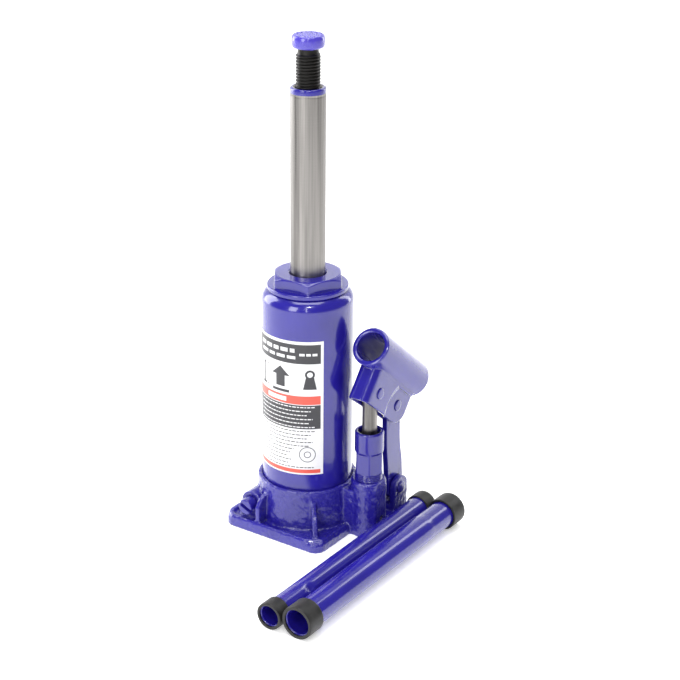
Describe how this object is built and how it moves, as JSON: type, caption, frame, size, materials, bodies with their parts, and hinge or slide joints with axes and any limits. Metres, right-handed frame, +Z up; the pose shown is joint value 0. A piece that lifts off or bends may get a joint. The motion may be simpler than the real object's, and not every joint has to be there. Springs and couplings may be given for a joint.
{
  "type": "bottle jack",
  "caption": "Hydraulic bottle jack with raised ram and extension screw, side pump with tilting handle socket, release valve, and a two-piece tube handle lying beside it.",
  "frame": {"origin": "middle of the foot casting's underside, on the ram's axis", "axes": "+Z up along the ram, +X towards the pump, +Y towards the pump's link; the handle socket and the release valve open towards -Y"},
  "size_m": [0.1373, 0.2001, 0.3365],
  "materials": {
    "blue_paint": "gloss",
    "ground_steel": "satin",
    "black_oxide": "satin",
    "cast_iron_head": "satin",
    "copper": "satin",
    "seal_rubber": "matte",
    "nylon": "matte",
    "gauze": "satin",
    "ring_plastic": "matte",
    "label": "satin"
  },
  "bodies": {
    "base": {"base_casting": "blue_paint", "passage_plugs": "ground_steel", "oil_strainer": "gauze", "safety_ball": "ground_steel", "safety_spring": "black_oxide", "safety_screw": "ground_steel", "cylinder_gasket": "copper", "tank_gasket": "seal_rubber", "ram_cylinder": "ground_steel", "reservoir_tube": "blue_paint", "filler_plug": "seal_rubber", "tank_label": "label", "top_nut": "blue_paint", "nut_seal": "seal_rubber", "rod_wiper": "seal_rubber", "guide_bush": "cast_iron_head", "pump_cylinder": "blue_paint", "pump_gasket": "copper", "pump_packing": "seal_rubber", "lug_pin": "blue_paint", "lug_pin_clip": "black_oxide"},
    "ram": {"ram": "ground_steel", "piston_head": "cast_iron_head", "cup_seal": "seal_rubber", "backup_washer": "nylon"},
    "stop_washer": {"stop_washer": "ground_steel"},
    "extension_screw": {"extension_screw": "black_oxide", "screw_clip": "black_oxide"},
    "pump_plunger": {"pump_plunger": "ground_steel", "plunger_ring": "seal_rubber"},
    "handle_socket": {"handle_socket": "blue_paint", "piston_pin": "blue_paint", "piston_pin_clip": "black_oxide", "fulcrum_pin": "blue_paint", "fulcrum_pin_clip": "black_oxide"},
    "link": {"link_plate": "blue_paint"},
    "release_ball": {"release_ball": "ground_steel"},
    "release_valve": {"release_valve": "blue_paint", "valve_ring": "seal_rubber"},
    "suction_ball": {"suction_ball": "ground_steel"},
    "delivery_ball": {"delivery_ball": "ground_steel"},
    "large_handle": {"large_handle_tube": "blue_paint", "large_tube_rings": "ring_plastic"},
    "small_handle": {"small_handle_tube": "blue_paint", "small_tube_rings": "ring_plastic"}
  },
  "joints": [
    {"name": "ram_slide", "type": "slide", "parent": "base", "child": "ram", "axis": [0, 0, 1], "range_m": [-0.118, 0]},
    {"name": "screw_lift", "type": "slide", "parent": "ram", "child": "stop_washer", "axis": [0, 0, 1], "range_m": [-0.0247, 0.0353]},
    {"name": "screw_turn", "type": "hinge", "parent": "stop_washer", "child": "extension_screw", "pos_m": [0, 0, 0.3], "axis": [0, 0, 1], "range_deg": [-4446.1, 6354.1]},
    {"name": "handle_swing", "type": "hinge", "parent": "pump_plunger", "child": "handle_socket", "pos_m": [0.047, 0.0049, 0.1044], "axis": [1, 0, 0], "range_deg": [-5, 28]},
    {"name": "pump_stroke", "type": "slide", "parent": "base", "child": "pump_plunger", "axis": [0, 0, 1], "range_m": [-0.0143, 0.0026]},
    {"name": "link_swing", "type": "hinge", "parent": "handle_socket", "child": "link", "pos_m": [0.047, 0.0315, 0.0851], "axis": [1, 0, 0], "range_deg": [-34.2, 6.3]},
    {"name": "valve_ball_travel", "type": "slide", "parent": "base", "child": "release_ball", "axis": [0, -1, 0], "range_m": [0, 0.0015]},
    {"name": "valve_turn", "type": "hinge", "parent": "release_ball", "child": "release_valve", "pos_m": [-0.022, -0.02, 0.017], "axis": [0, -1, 0], "range_deg": [0, 540.1]},
    {"name": "suction_ball_lift", "type": "slide", "parent": "base", "child": "suction_ball", "axis": [0, 0, 1], "range_m": [0, 0.0008]},
    {"name": "delivery_ball_lift", "type": "slide", "parent": "base", "child": "delivery_ball", "axis": [0, 0, 1], "range_m": [0, 0.0008]},
    {"name": "large_handle_lift", "type": "slide", "parent": "base", "child": "large_handle", "axis": [0, 0, 1], "range_m": [0, 0.15]},
    {"name": "small_handle_lift", "type": "slide", "parent": "base", "child": "small_handle", "axis": [0, 0, 1], "range_m": [0, 0.05]}
  ],
  "couplings": [
    {"joint": "screw_turn", "follows": "screw_lift", "rad_per_m": 3141.6},
    {"joint": "pump_stroke", "follows": "handle_swing", "m_per_rad": -0.029078},
    {"joint": "link_swing", "follows": "handle_swing", "ratio": -1.212},
    {"joint": "valve_turn", "follows": "valve_ball_travel", "rad_per_m": 6283.2}
  ]
}
